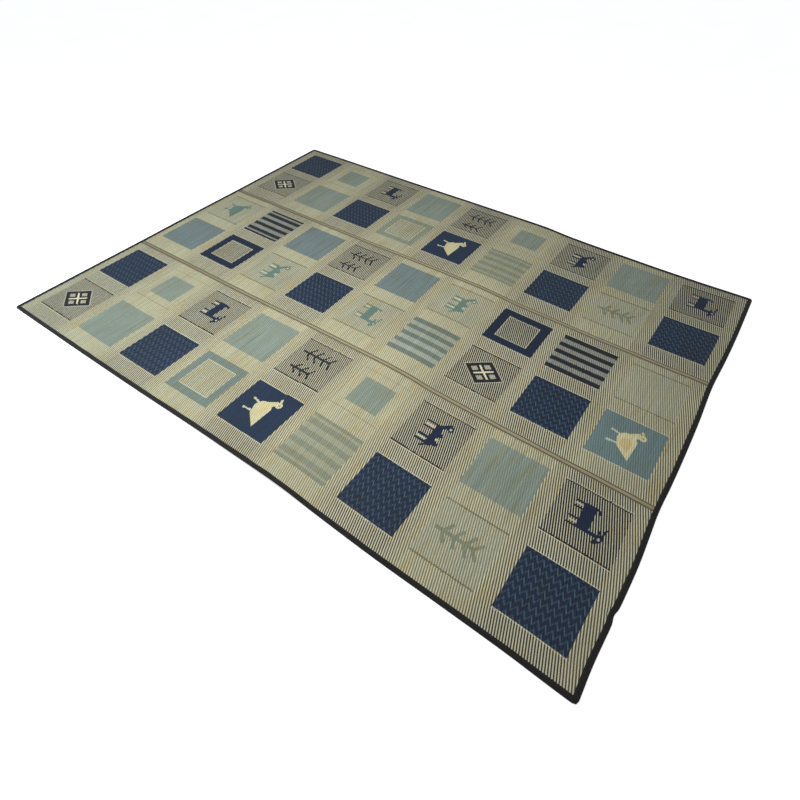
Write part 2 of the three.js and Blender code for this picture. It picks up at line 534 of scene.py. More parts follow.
def sprigs(c):
    shapes = [c.bar(-7.8, 3.5, 4.8, 3.5, 0.42), c.bar(-6.8, -5.4, 1.9, -5.4, 0.42)]
    for u in (-5.4, -2.2, 1.4, 4.4):
        for s in (1, -1):
            shapes.append(c.bar(u, 3.5 + 0.2 * s, u + 1.6, 3.5 + 3.2 * s, 0.36))
    for u in (-5.0, -1.8, 1.5):
        for s in (1, -1):
            shapes.append(c.bar(u, -5.4 + 0.2 * s, u + 1.5, -5.4 + 2.6 * s, 0.36))
    return shapes


def weave(name):
    """The rush cloth of one kind of square, out to halfway to its neighbours."""
    dark_kind = name in DARK_KIND
    g = Graph("rush_" + name)
    x, y = g.uv("weave")
    u, v = g.uv("patch")
    stalk = g.floor(x / RUSH)
    pick = g.floor(y / WARP)
    turn = g.frac((stalk + pick) / 8)
    under = g.less(turn, 0.49)
    chance = g.chance(stalk)
    chance2 = g.chance(stalk + 4137.0)
    streak = g.noise(x * 1.3, y * 0.045, detail=3.0, rough=0.6)
    cloud = g.noise(x * 0.055, y * 0.05, detail=2.0, z=7.3)
    # steps of whole stalks and half warps, so a woven edge is stepped
    us = u + (stalk + 0.5) * RUSH - x
    vs = v + (pick + 0.5) * WARP - y
    ve = vs + (chance - 0.5) * 0.24
    c = Chart(g, us, vs)
    column = g.less(abs(us), CELL)
    cell = column * g.less(abs(ve), CELL)

    # painted washout: the dark stalks are painted paler, and the tops a little darker, towards the left-hand end,
    # standing in for the glare and the low view that wash the stripes out there
    painted_washout_dips = g.ramp(x, 110.0, 15.0, 0.80, 1.40)
    painted_washout_tops = g.ramp(x, 110.0, 15.0, 0.99, 0.95)
    top, dip = GAP[dark_kind]
    ctop, cdip = GROUND[dark_kind]
    L = g.scale(g.mix(column, top, ctop), painted_washout_tops)
    D = g.scale(g.mix(column, dip, cdip), painted_washout_dips)

    def paint(mask, pair, keep=None):
        nonlocal L, D
        L, D = g.mix(mask, L, pair[0]), g.mix(mask, D, pair[1])

    edge = abs(ve)
    rim = column * g.less(abs(edge - (CELL + 0.17)), 0.17)

    def grey_ground(pair, line):
        # painted washout on the grey ground: dips painted paler and tops darker towards the left-hand end, standing
        # in for the glare and the low view there
        if pair is GREY:
            pair = (g.scale(pair[0], g.ramp(x, 100.0, -90.0, 1.16, 0.95)), g.scale(pair[1], g.ramp(x, 100.0, -90.0, 0.55, 1.25)))
        paint(cell, pair)
        paint(cell * g.less(CELL - 0.55, edge), line)

    soft = 0.55
    if name == "navy":
        paint(rim, RIM)
        paint(cell, NAVY)
        run = g.frac((us + (chance - 0.5) * 0.1) / 2.05)
        tri = abs(run - 0.5) * 3.8
        way = g.frac((v + tri + (chance2 - 0.5) * 0.25) / 2.70)
        line = cell * g.less(abs(way - 0.5), 0.15)
        worn = g.ramp(g.noise(x * 1.1, y * 0.9, detail=2.0, z=11.0), 0.30, 0.62, 0.35, 1.0)
        worn = g.high(worn, g.ramp(x, 20.0, 90.0, 0.0, 0.9))
        paint(line * worn, NAVY_FAINT)
        paint(line * g.less(0.5, run) * worn, NAVY_LINE)
    elif name in ("teal", "blue"):
        paint(cell, TEAL if name == "teal" else BLUE)
        soft = 1.0
    elif name == "small":
        paint(cell * g.less(CELL - 0.3, edge), ((146, 142, 118), (118, 114, 94)))
        paint(c.inside(c.box(-7.2, 7.2, -7.1, 7.1)), ((176, 173, 149), (138, 133, 111)))
        paint(c.inside(c.box(-6.8, 6.8, -6.7, 6.7)), TEAL)
        soft = 0.8
    elif name in ("goat", "camel"):
        paint(rim, RIM)
        grey_ground(GREY, ((42, 39, 40), (30, 28, 29)))
        dark, light = (goat if name == "goat" else camel)(c)
        paint(c.inside(*dark), INK)
        paint(c.inside(*light), ((190, 186, 168), (160, 156, 140)))
    elif name == "sprigs":
        paint(rim, RIM)
        grey_ground(GREY, ((42, 39, 40), (30, 28, 29)))
        paint(c.inside(*sprigs(c)), ((40, 40, 46), (30, 30, 36)))
    elif name == "lozenge":
        paint(rim, RIM)
        grey_ground(GREY, ((58, 52, 46), (40, 36, 32)))
        a = abs(us / 7.8 + vs / 6.6)
        b = abs(us / 7.8 - vs / 6.6)
        out = g.high(a, b)
        paint(g.less(out, 1.11), ((186, 182, 172), (132, 128, 120)))
        paint(g.less(out, 1.02), ((30, 28, 33), (25, 23, 28)))
        arm = g.low(a, b)
        paint(g.less(arm, 0.075) * g.less(out, 0.76), ((214, 210, 192), (192, 188, 170)))
        paint(g.less(g.high(abs(a - 0.49), abs(b - 0.49)), 0.215), ((168, 165, 156), (142, 139, 131)))
    elif name in ("goose_navy", "goose_blue"):
        paint(rim, RIM)
        paint(cell, ((26, 46, 76), (18, 33, 55)) if name == "goose_navy" else ((106, 124, 130), (86, 104, 110)))
        body, leg, eye, wing = goose(c)
        paint(c.inside(*leg), ((186, 188, 170), (160, 162, 146)))
        paint(c.inside(*body), CREAM)
        if name == "goose_blue":
            paint(c.inside(*wing), TAN)
        paint(c.inside(*eye), ((120, 130, 120), (100, 110, 104)))
    elif name in ("frame_navy", "frame_teal", "frame_pale"):
        pair = {
            "frame_navy": NAVY,
            "frame_teal": ((114, 127, 125), (96, 109, 107)),
            "frame_pale": ((132, 140, 128), (114, 122, 110)),
        }[name]
        if name == "frame_navy":
            paint(rim, RIM)
        paint(cell, pair)
        ring = g.high(abs(us), abs(ve))
        inner = 6.6 if name == "frame_navy" else 7.1
        paint(g.less(ring, inner + 0.35), RIM)
        paint(g.less(ring, inner), GREY if name == "frame_navy" else ((178, 176, 156), (104, 99, 84)))
        soft = 0.7
    elif name in ("bars_navy", "bars_teal", "bars_pale"):
        pairs = {
            "bars_navy": (((31, 35, 40), (23, 26, 30)), ((142, 144, 144), (104, 106, 108))),
            "bars_teal": (((106, 116, 113), (90, 100, 98)), ((150, 156, 149), (130, 137, 131))),
            "bars_pale": (((130, 134, 120), (112, 116, 104)), ((149, 151, 135), (130, 132, 118))),
        }[name]
        if name == "bars_navy":
            paint(rim, RIM)
        paint(cell, pairs[0])
        # some of the squares start with a dark bar, some with a light one
        start = 0.0 if name == "bars_teal" else 2.4
        if name == "bars_navy":
            start = 2.4 - g.less(0.0, x) * 2.4
        bar = abs(g.frac((ve + start + 47.0) / 4.7) - 0.5)
        paint(cell * g.less(bar, 0.255) * g.less(edge, 9.4), pairs[1])
        soft = 0.7
    elif name == "twig":
        grey_ground(PALE, ((122, 116, 90), (96, 90, 70)))
        paint(c.inside(*twig(c, 0.62)), ((124, 130, 114), (106, 112, 98)))
        soft = 0.7
    else:  # pale squares
        grey_ground(PALE, ((122, 120, 98), (98, 96, 80)))
        tone = ((98, 120, 116), (84, 106, 104))
        if name == "pale_goose":
            body, leg, eye, wing = goose(c)
            paint(c.inside(*body, *leg), tone)
            paint(c.inside(*eye), ((170, 172, 150), (150, 152, 132)))
        elif name != "pale":
            dark, light = (goat if name == "pale_goat" else camel)(c)
            paint(c.inside(*dark), tone)
            paint(c.inside(*light), ((186, 186, 162), (166, 166, 142)))
        soft = 0.7

    if name in ("goat", "camel", "sprigs", "lozenge", "frame_navy"):
        under = g.less(turn, 0.49 + cell * 0.10)
    colour = g.mix(under, L, D)
    # each stalk has its own shade, and some are greener, yellower or browner
    warm = g.mix(chance2, (255, 250, 232), (250, 255, 246))
    straw = g.noise(x * 0.35, y * 0.10, detail=3.0, rough=0.6, z=3.1)
    warm = g.mix(g.ramp(straw, 0.50, 0.68) * 0.7, warm, (255, 240, 200))
    n = g.node("ShaderNodeMix", data_type="RGBA", blend_type="MULTIPLY")
    n.inputs["Factor"].default_value = 1.0
    sockets = [s for s in n.inputs if s.type == "RGBA"]
    g.put(sockets[0], colour)
    g.put(sockets[1], warm)
    colour = Val(g, [s for s in n.outputs if s.type == "RGBA"][0])
    depth = 0.16 if soft < 0.6 else 0.22
    shade = (
        (chance - 0.5) * depth
        + (streak - 0.5) * (0.75 * soft + 0.1)
        + (cloud - 0.5) * 0.30
        + 1.0
    )
    colour = g.scale(colour, shade)

    across = g.frac(x / RUSH) * 2.0 - 1.0
    stem = 1.0 - across * across
    height = stem * 0.55 + under * -0.6 + chance * 0.25
    rough = g.ramp(streak, 0.3, 0.7, 0.5, 0.68)
    return g.finish(
        colour,
        rough,
        g.bump(height, 0.0005, 0.8),
        Specular_IOR_Level=0.2,
        Sheen_Weight=0.03,
        Sheen_Roughness=0.45,
    )


WEAVES = {}


def weave_of(name):
    if name not in WEAVES:
        WEAVES[name] = weave(name)
    return WEAVES[name]


# ----------------------------------------------------------------------------
# Meshes
# ----------------------------------------------------------------------------
def mesh_from(name, verts, faces, uvs=None, materials=(), slots=None):
    """verts in frame metres, faces as tables of equal ones, uvs = {map: one (u, v) per corner}."""
    me = bpy.data.meshes.new(name)
    faces = [np.asarray(f, np.int32) for f in faces]
    counts = np.concatenate([np.full(len(f), f.shape[1], np.int32) for f in faces])
    flat = np.concatenate([f.ravel() for f in faces])
    me.vertices.add(len(verts))
    me.vertices.foreach_set("co", np.asarray(verts, np.float32).ravel())
    me.loops.add(len(flat))
    me.loops.foreach_set("vertex_index", flat)
    me.polygons.add(len(counts))
    starts = np.concatenate([[0], np.cumsum(counts)[:-1]]).astype(np.int32)
    me.polygons.foreach_set("loop_start", starts)
    me.polygons.foreach_set("loop_total", counts)
    me.polygons.foreach_set("use_smooth", np.ones(len(counts), bool))
    for m in materials:
        me.materials.append(m)
    if slots is not None:
        me.polygons.foreach_set("material_index", np.asarray(slots, np.int32))
    for key, val in (uvs or {}).items():
        layer = me.uv_layers.new(name=key)
        layer.data.foreach_set("uv", np.asarray(val, np.float32).ravel())
    me.update(calc_edges=True)
    me.validate()
    ob = bpy.data.objects.new(name, me)
    bpy.context.collection.objects.link(ob)
    return ob


def panel(which, y0, y1, bound_near, bound_far):
    """One woven panel. Its columns of vertices run along the ribs."""
    rows_bound = [0, 0.7, 1.35, 1.8, 2.05, 2.35, 2.9, 3.8]
    rows_seam = [0, 0.6, 1.02, 1.2, 1.4, 1.62, 1.95, 2.6, 3.6]
    a = rows_bound if bound_near else rows_seam
    b = rows_bound if bound_far else rows_seam
    span = y1 - y0
    middle = np.linspace(a[-1], span - b[-1], 33)[1:-1]
    ys = y0 + np.array(a + list(middle) + [span - t for t in reversed(b)])
    x0, x1 = -HALF_L + 0.28, HALF_L - 0.28
    ymid = (y0 + y1) / 2
    step = RIB / 5
    reach = LEAN * span / 2
    # ribs start so that a crest falls on the light stalks
    origin = -LEAN * ymid
    kmin = math.floor((x0 - reach - origin) / step) - 1
    kmax = math.ceil((x1 + reach - origin) / step) + 1
    s = np.arange(kmin, kmax + 1) * step
    raw = s[None, :] + origin - LEAN * (ys[:, None] - ymid)
    # keep whole samples a little clear of the ends, so no sliver is left there
    inside = (raw > x0 + step * 0.3) & (raw < x1 - step * 0.3)
    ny, nx = raw.shape
    ids = np.full((ny, nx), -1, np.int64)
    xs, yy = [], []
    count = 0
    left, right = [], []
    for j in range(ny):
        k = np.nonzero(inside[j])[0]
        left.append(count)
        ids[j, : k[0]] = count
        xs.append([x0])
        count += 1
        ids[j, k[0] : k[-1] + 1] = np.arange(count, count + len(k))
        xs.append(raw[j, k[0] : k[-1] + 1])
        count += len(k)
        right.append(count)
        ids[j, k[-1] + 1 :] = count
        xs.append([x1])
        count += 1
        yy.append(np.full(len(k) + 2, ys[j]))
    X = np.concatenate([np.asarray(t, float) for t in xs])
    Y = np.concatenate(yy)

    # height of the upper face
    layout = LAYOUT[which]
    first, last, rows = PLACES[which]
    columns, rows = np.linspace(first, last, 9), np.array(rows)
    midway = rows.mean()
    base_y = {"near": -HALF_W, "middle": -SEAM, "far": SEAM}[which]
    col = np.argmin(np.abs(X[:, None] - columns[None]), 1)
    row = (Y - base_y > midway).astype(int)
    cu = X - columns[col]
    cv = Y - base_y - rows[row]
    stand = np.ones(len(X))
    for r in (0, 1):
        for cidx in range(9):
            kind = layout[r][cidx]
            here = (col == cidx) & (row == r) & (np.maximum(abs(cu), abs(cv)) < CELL)
            stand[here] = STAND.get(kind, 0.9)
            if kind not in DARK_KIND:
                stand[(col == cidx) & (row == r) & (abs(cu) < CELL) & ~here] = 0.7
    phase = X / RIB + Y / (8 * WARP)
    bound = HALF_L - np.abs(X)
    if bound_near:
        bound = np.minimum(bound, Y + HALF_W)
    if bound_far:
        bound = np.minimum(bound, HALF_W - Y)
    seam = np.full(len(X), 99.0)
    if not bound_near:
        seam = np.minimum(seam, Y - y0)
    if not bound_far:
        seam = np.minimum(seam, y1 - Y)
    free = ease((bound - 1.85) / 0.5) * ease((seam - 1.2) / 0.45)
    rng = np.random.RandomState({"near": 21, "middle": 22, "far": 23}[which])
    loose = wander(rng.randint(1000), 0.9)
    top = 0.335 + 0.065 * ease((bound - 1.85) / 0.5)
    top = np.minimum(top, 0.245 + 0.155 * ease((seam - 1.2) / 0.45))
    top = top + free * (0.062 * stand * np.cos(2 * math.pi * (phase - CREST)) + 0.006 * loose(X))
    under = 0.125 * (1 - ease((bound - 1.85) / 0.7))

    V = [to_frame(X, Y, top)]
    q = np.stack([ids[:-1, :-1], ids[:-1, 1:], ids[1:, 1:], ids[1:, :-1]], -1).reshape(-1, 4)
    same = q == np.roll(q, 1, 1)
    whole = same.sum(1) == 0
    three = same.sum(1) == 1
    quads = q[whole]
    tris = q[three][~same[three]].reshape(-1, 3)
    faces = [quads, tris]
    n_top = len(quads) + len(tris)

    # the lower face, coarser: every fifth sample along the first and last row
    # so the sides join corner to corner
    def edge_ids(j):
        k = np.nonzero(inside[j])[0]
        return np.concatenate([[left[j]], ids[j, k[0] : k[-1] + 1], [right[j]]])

    near_edge, far_edge = edge_ids(0), edge_ids(ny - 1)
    cells = 300
    pick_near = np.unique(np.linspace(0, len(near_edge) - 1, cells + 1).round().astype(int))
    pick_far = np.unique(np.linspace(0, len(far_edge) - 1, cells + 1).round().astype(int))
    jrows = sorted(set(np.linspace(0, ny - 1, 25).round().astype(int)) | {3, 4, 5, 6, ny - 4, ny - 5, ny - 6, ny - 7})
    bottom = []
    for j in jrows:
        t = (ys[j] - ys[0]) / (ys[-1] - ys[0])
        bx = X[near_edge[pick_near]] * (1 - t) + X[far_edge[pick_far]] * t
        bottom.append(np.stack([bx, np.full(len(bx), ys[j])], 1))
    bottom = np.array(bottom)
    # stations near the ends follow the fold of the binding
    bxy = bottom.reshape(-1, 2)
    bb = HALF_L - np.abs(bxy[:, 0])
    if bound_near:
        bb = np.minimum(bb, bxy[:, 1] + HALF_W)
    if bound_far:
        bb = np.minimum(bb, HALF_W - bxy[:, 1])
    bz = 0.012 + 0.115 * (1 - ease((bb - 1.85) / 0.8))
    V.append(to_frame(bxy[:, 0], bxy[:, 1], bz))
    nb = cells + 1
    bid = count + np.arange(len(bxy)).reshape(len(jrows), nb)
    X = np.concatenate([X, bxy[:, 0]])
    Y = np.concatenate([Y, bxy[:, 1]])
    faces.append(np.stack([bid[:-1, :-1], bid[1:, :-1], bid[1:, 1:], bid[:-1, 1:]], -1).reshape(-1, 4))
    n_bottom = len(faces[-1])
    # sides
    for k in range(nb - 1):
        run = list(near_edge[pick_near[k] : pick_near[k + 1] + 1])
        faces.append(np.array([[bid[0, k], bid[0, k + 1]] + run[::-1]]))
        run = list(far_edge[pick_far[k] : pick_far[k + 1] + 1])
        faces.append(np.array([[bid[-1, k + 1], bid[-1, k]] + run]))
    for r in range(len(jrows) - 1):
        run = [left[j] for j in range(jrows[r], jrows[r + 1] + 1)]
        faces.append(np.array([[bid[r + 1, 0], bid[r, 0]] + run]))
        run = [right[j] for j in range(jrows[r], jrows[r + 1] + 1)]
        faces.append(np.array([[bid[r, -1], bid[r + 1, -1]] + run[::-1]]))

    # maps
    counts = np.concatenate([np.full(len(f), f.shape[1]) for f in faces])
    corners = np.concatenate([f.ravel() for f in faces])
    owner = np.repeat(np.arange(len(counts)), counts)
    cx, cy = X[corners], Y[corners]
    fx = np.bincount(owner, cx) / counts
    fy = np.bincount(owner, cy) / counts
    fcol = np.argmin(np.abs(fx[:, None] - columns[None]), 1)
    frow = (fy - base_y > midway).astype(int)
    patch = np.stack(
        [cx - columns[fcol][owner], cy - base_y - rows[frow][owner]], 1
    )
    kinds = sorted(set(layout[0]) | set(layout[1]))
    table = np.array([[kinds.index(k) for k in r] for r in layout])
    slots = table[frow, fcol]

    half = (fx > 0).astype(int)[owner]
    bake_u = (cx + HALF_L + 1.0 - half * 126.0 + half * 1.0) / 128.0
    span_v = (cy - y0) / span
    kind = np.where(owner < n_top, 0, np.where(owner < n_top + n_bottom, 1, 2))
    bake_v = np.where(
        kind == 0,
        0.005 + half * 0.385 + span_v * 0.375,
        0.775 + half * 0.105 + span_v * 0.097,
    )
    # the four narrow sides sit in their own strips
    VV = np.concatenate(V)
    z = np.clip(VV[:, 2] * 100 - lift(X, Y), 0, 0.5)[corners] / 0.5
    side = owner - n_top - n_bottom
    is_long = (kind == 2) & (side < 2 * (nb - 1))
    which_side = np.where(side % 2 == 0, 0, 1)
    bake_u = np.where(kind == 2, np.where(is_long, (cx + HALF_L) / 252.0 + 0.003, span_v * 0.98 + 0.01), bake_u)
    bake_v = np.where(
        kind == 2,
        0.985 + np.where(is_long, which_side, which_side + 2) * 0.0036 + z * 0.003,
        bake_v,
    )
    ob = mesh_from(
        "rush_panel_" + which,
        VV,
        faces,
        {
            "weave": np.stack([cx, cy], 1),
            "patch": patch,
            "OFBake": np.stack([bake_u, bake_v], 1),
        },
        [weave_of(k) for k in kinds],
        slots,
    )
    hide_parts("panel_" + which)
    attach(ob, "root")
    return ob


def sweep(name, stations, ring, place, material, rows=8):
    """A closed section carried along stations. place(s, section) gives frame points."""
    pts = np.array([place(s, ring) for s in stations])
    n, m = len(stations), len(ring)
    verts = pts.reshape(-1, 3)
    ids = np.arange(n * m).reshape(n, m)
    faces, caps, uv, bake = [], [], [], []
    girth = np.concatenate([[0], np.cumsum(np.hypot(*np.diff(np.vstack([ring, ring[:1]]), axis=0).T))])
    per = int(math.ceil((n - 1) / rows))
    for i in range(n - 1):
        r = i // per
        first = r * per
        for k in range(m):
            k2 = (k + 1) % m
            faces.append([ids[i, k], ids[i, k2], ids[i + 1, k2], ids[i + 1, k]])
            for a, t in ((i, k), (i, k + 1), (i + 1, k + 1), (i + 1, k)):
                uv.append((stations[a], girth[t]))
                bake.append(
                    (
                        0.01 + 0.98 * (a - first) / per,
                        (r + 0.04 + 0.9 * girth[t] / girth[-1]) / (rows + 0.5),
                    )
                )
    for i, order in ((0, range(m - 1, -1, -1)), (n - 1, range(m))):
        caps.append([ids[i, k] for k in order])
        lo_, hi_ = ring.min(0), ring.max(0)
        for k in order:
            uv.append((stations[i], girth[k]))
            bake.append(
                (
                    0.05 + (0 if i == 0 else 0.5) + 0.4 * (ring[k, 0] - lo_[0]) / (hi_[0] - lo_[0]),
                    (rows + 0.1 + 0.35 * (ring[k, 1] - lo_[1]) / (hi_[1] - lo_[1])) / (rows + 0.5),
                )
            )
    ob = mesh_from(name, verts, [faces, caps], {"cloth": uv, "OFBake": bake}, [material])
    # outward faces
    import bmesh

    bm = bmesh.new()
    bm.from_mesh(ob.data)
    bmesh.ops.recalc_face_normals(bm, faces=bm.faces)
    bm.to_mesh(ob.data)
    bm.free()
    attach(ob, "root")
    return ob


def stitches(name, runs, material, length=0.4, radius=0.045, sides=6):
    """Short sunk threads. runs holds (points as frame metres, direction as unit)."""
    verts, faces, caps, uv, bake, cuv, cbake = [], [], [], [], [], [], []
    cells = int(math.ceil(math.sqrt(len(runs))))
    along = np.array([-1.0, -0.72, 0.0, 0.72, 1.0])
    fat = np.array([0.35, 0.85, 1.0, 0.85, 0.35])
    sink = np.array([-1.5, -0.45, 0.0, -0.45, -1.5])
    for n, (p, d) in enumerate(runs):
        side = np.array([-d[1], d[0], 0.0])
        side /= np.linalg.norm(side)
        up = np.cross(d, side)
        if up[2] < 0:
            up = -up
        base = len(verts)
        for a, f, s in zip(along, fat, sink):
            c = p + d * (a * length / 200) + up * (s * radius / 100)
            for k in range(sides):
                t = 2 * math.pi * k / sides
                verts.append(c + (side * math.cos(t) * 1.15 + up * math.sin(t) * 0.8) * radius * f / 100)
        cu, cvv = (n % cells) / cells, (n // cells) / cells
        for i in range(len(along) - 1):
            for k in range(sides):
                k2 = (k + 1) % sides
                faces.append(
                    [base + i * sides + k, base + i * sides + k2, base + (i + 1) * sides + k2, base + (i + 1) * sides + k]
                )
                for a, b in ((i, k), (i, k + 1), (i + 1, k + 1), (i + 1, k)):
                    uv.append((a + n * 7.3, b / sides))
                    bake.append((cu + (0.08 + 0.6 * a / 4) / cells, cvv + (0.08 + 0.84 * b / sides) / cells))
        for i, order in ((0, range(sides - 1, -1, -1)), (len(along) - 1, range(sides))):
            caps.append([base + i * sides + k for k in order])
            for k in order:
                t = 2 * math.pi * k / sides
                cuv.append((i + n * 7.3, k / sides))
                cbake.append(
                    (cu + (0.82 + 0.1 * math.cos(t)) / cells, cvv + ((0.25 if i == 0 else 0.7) + 0.1 * math.sin(t)) / cells)
                )
    ob = mesh_from(name, np.array(verts), [faces, caps], {"cloth": uv + cuv, "OFBake": bake + cbake}, [material])
    import bmesh

    bm = bmesh.new()
    bm.from_mesh(ob.data)
    bmesh.ops.recalc_face_normals(bm, faces=bm.faces)
    bm.to_mesh(ob.data)
    bm.free()
    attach(ob, "root")
    return ob


# ----------------------------------------------------------------------------
# Cloth materials of the tapes and threads
# ----------------------------------------------------------------------------
def binding_cloth():
    g = Graph("binding_cloth")
    s, t = g.uv("cloth")
    over = g.frac(s / 0.085)
    rise = g.frac((t / 0.06 + s / 0.17))
    yarn = abs(over - 0.5) * 2.0
    twill = abs(rise - 0.5) * 2.0
    dust = g.noise(s * 0.35, t * 0.6, detail=4.0, rough=0.6)
    lint = g.noise(s * 6.0, t * 9.0, detail=2.0)
    worn = g.ramp(g.noise(s * 0.9, t * 2.2, detail=3.0, z=4.0), 0.45, 0.75, 0.0, 1.0)
    base = g.mix(g.ramp(dust, 0.3, 0.75), (15, 13, 12), (26, 22, 20))
    base = g.mix(worn * 0.3, base, (44, 39, 35))
    colour = g.scale(base, 0.75 + twill * 0.3 + (lint - 0.5) * 0.5)
    height = twill * 0.7 + yarn * 0.3 + lint * 0.3
    return g.finish(
        colour,
        g.ramp(dust, 0.3, 0.7, 0.55, 0.75),
        g.bump(height, 0.00035, 0.9),
        Specular_IOR_Level=0.22,
        Sheen_Weight=0.04,
        Sheen_Roughness=0.4,
    )


def tape_cloth():
    g = Graph("seam_tape_cloth")
    s, t = g.uv("cloth")
    a = abs(g.frac(s / 0.11) - 0.5) * 2.0
    b = abs(g.frac(t / 0.13) - 0.5) * 2.0
    cell = g.high(a, b)
    slub = g.noise(s * 0.8, t * 7.0, detail=3.0, rough=0.6)
    soil = g.noise(s * 0.12, t * 0.3, detail=3.0, z=2.0)
    base = g.mix(g.ramp(slub, 0.3, 0.7), (126, 117, 89), (150, 141, 109))
    base = g.mix(g.ramp(soil, 0.42, 0.72) * 0.55, base, (124, 114, 84))
    # darker towards the left-hand end: painted shadow of the tape standing up as a ridge there
    base = g.mix(g.ramp(s, -20.0, -110.0) * 0.75, base, (112, 102, 72))
    # a dark band along each side, partly the sewn line and partly painted shadow beside the raised tape, the near one
    # broader
    near = g.less(abs(t - 0.30), 0.22)
    far = g.less(abs(t - 1.76), 0.19)
    base = g.mix(g.high(near * 0.85, far * 0.95), base, (60, 52, 36))
    colour = g.scale(base, 0.82 + cell * 0.25)
    height = cell * 0.8 + slub * 0.5
    return g.finish(
        colour,
        g.ramp(slub, 0.3, 0.7, 0.65, 0.85),
        g.bump(height, 0.0004, 0.8),
        Specular_IOR_Level=0.3,
        Sheen_Weight=0.15,
        Sheen_Roughness=0.5,
    )


def thread(name, dark, light):
    g = Graph(name)
    s, t = g.uv("cloth")
    ply = abs(g.frac(s * 1.6 + t * 2.0) - 0.5) * 2.0
    shade = g.noise(s * 0.3, t * 2.0, detail=2.0)
    base = g.mix(g.ramp(shade, 0.3, 0.7), dark, light)
    return g.finish(
        g.scale(base, 0.7 + ply * 0.4),
        g.ramp(shade, 0.3, 0.7, 0.45, 0.65),
        g.bump(ply, 0.0002, 0.8),
        Specular_IOR_Level=0.45,
        Sheen_Weight=0.1,
    )


# ----------------------------------------------------------------------------
# The pieces
# ----------------------------------------------------------------------------
GAP_IN = 0.28
panels = [
    panel("near", -HALF_W + GAP_IN, -SEAM - 0.015, True, False),
    panel("middle", -SEAM + 0.015, SEAM - 0.015, False, False),
    panel("far", SEAM + 0.015, HALF_W - GAP_IN, False, True),
]

TAPE = tape_cloth()
CLOTH = binding_cloth()
BROWN = thread("seam_thread", (38, 32, 25), (58, 50, 38))
BLACK = thread("binding_thread", (24, 21, 21), (44, 39, 38))

tapes = []
tape_runs = []
half = 1.05
across = np.linspace(-half, half, 11)
TAPE_RING = np.array(
    [(v, 0.385 + 0.022 * (1 - (v / half) ** 2)) for v in across]
    + [(v, 0.290 + 0.022 * (1 - (v / half) ** 2)) for v in across[::-1]]
)


def tape_height(x):
    return -0.052 * ease((np.abs(x) - 122.3) / 0.9)


for which, side, seed in (("near", -1, 41), ("far", 1, 42)):
    sway, swell = wander(seed, 6.0), wander(seed + 10, 3.1)

    def place(s, ring, side=side, sway=sway, swell=swell):
        wide = 1.0 + 0.03 * swell(s)
        z = ring[:, 1] + tape_height(s) + 0.012 * swell(s + 50) * (abs(s) < 122)
        return to_frame(np.full(len(ring), s), side * SEAM + 0.06 * sway(s) + ring[:, 0] * wide, z)

    xs = np.linspace(-HALF_L + 0.31, HALF_L - 0.31, 501)
    ob = sweep("seam_tape_" + which + "_cloth", xs, TAPE_RING, place, TAPE, rows=10)
    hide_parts("seam_tape_" + which)
    tapes.append(ob)
    rng = np.random.RandomState(seed + 20)
    for line in (-1, 1):
        s = -122.6
        while s < 122.6:
            off = line * 0.80 + rng.uniform(-0.03, 0.03)
            sec = np.array([[off, 0.385 + 0.022 * (1 - (off / half) ** 2)]])
            p = place(s, sec)[0]
            q = place(s + 0.2, sec)[0]
            d = q - p
            d /= np.linalg.norm(d)
            tape_runs.append((p + np.array([0, 0, 0.00012]), d))
            s += 0.62 + rng.uniform(-0.05, 0.05)
tape_thread = stitches("seam_tape_stitching", tape_runs, BROWN, 0.46, 0.050)

# section of the folded binding: u inwards from the mat's edge, z up
OUTER = [
    (1.69, 0.000), (1.30, 0.000), (0.90, 0.000), (0.60, 0.004), (0.36, 0.024), (0.18, 0.074), (0.06, 0.155),
    (0.01, 0.250), (0.05, 0.345), (0.15, 0.424), (0.30, 0.474), (0.52, 0.500), (0.80, 0.506), (1.08, 0.500),
    (1.34, 0.488), (1.56, 0.470), (1.70, 0.448),
]
INNER = [
    (1.70, 0.372), (1.56, 0.388), (1.34, 0.402), (1.08, 0.412), (0.80, 0.416), (0.55, 0.410), (0.38, 0.390),
    (0.26, 0.355), (0.16, 0.300), (0.125, 0.250), (0.16, 0.190), (0.26, 0.130), (0.40, 0.098), (0.62, 0.086),
    (0.90, 0.084), (1.30, 0.084), (1.69, 0.084),
]
RING = np.array(OUTER + INNER)
bindings, binding_runs = [], []


